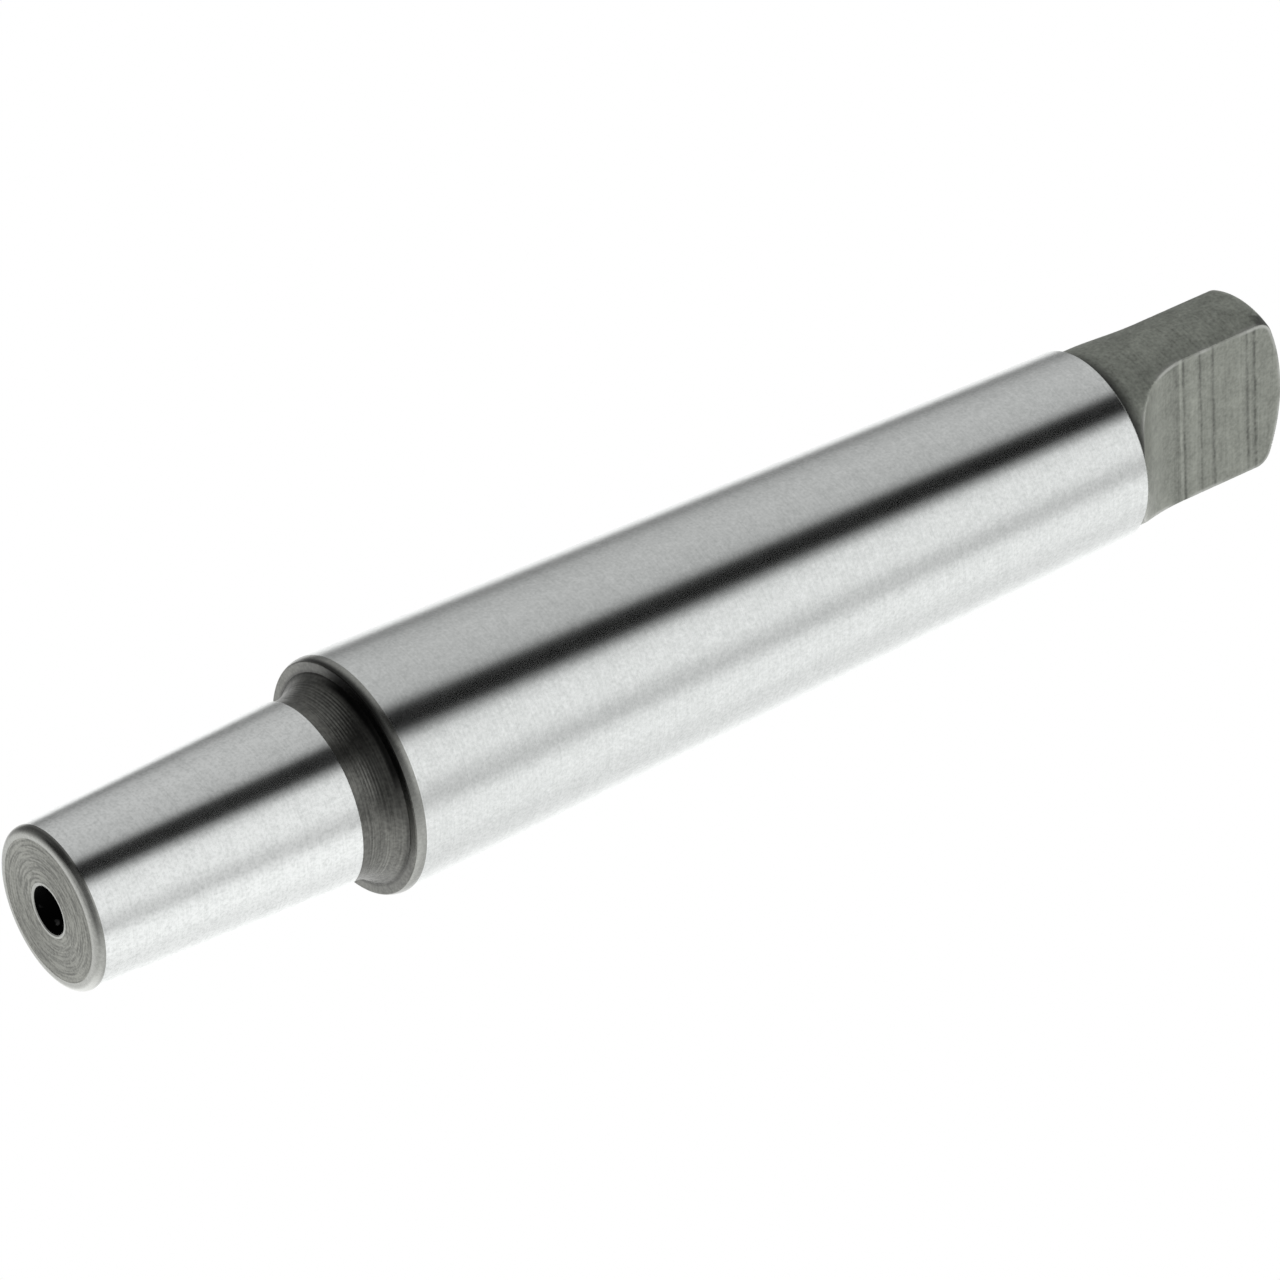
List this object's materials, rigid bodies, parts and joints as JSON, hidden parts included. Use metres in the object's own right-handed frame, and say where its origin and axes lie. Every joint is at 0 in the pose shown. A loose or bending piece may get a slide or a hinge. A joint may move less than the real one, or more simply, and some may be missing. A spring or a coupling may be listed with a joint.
{
  "type": "drill chuck arbor",
  "caption": "Tanged taper-shank arbor for a drill chuck: short ground chuck taper, turned relief neck, long ground shank and a milled flat tang.",
  "frame": {"origin": "centre of the flat end face of the chuck taper, on which the arbor stands", "axes": "+Z along the arbor's axis from the chuck taper towards the tang; the tang's two flats face +X and -X"},
  "size_m": [0.018, 0.018, 0.1071],
  "materials": {
    "steel": "ground bright on the two tapers, dull dark turned and milled steel on the neck and tang"
  },
  "bodies": {
    "root": {"arbor": "steel"}
  },
  "joints": []
}
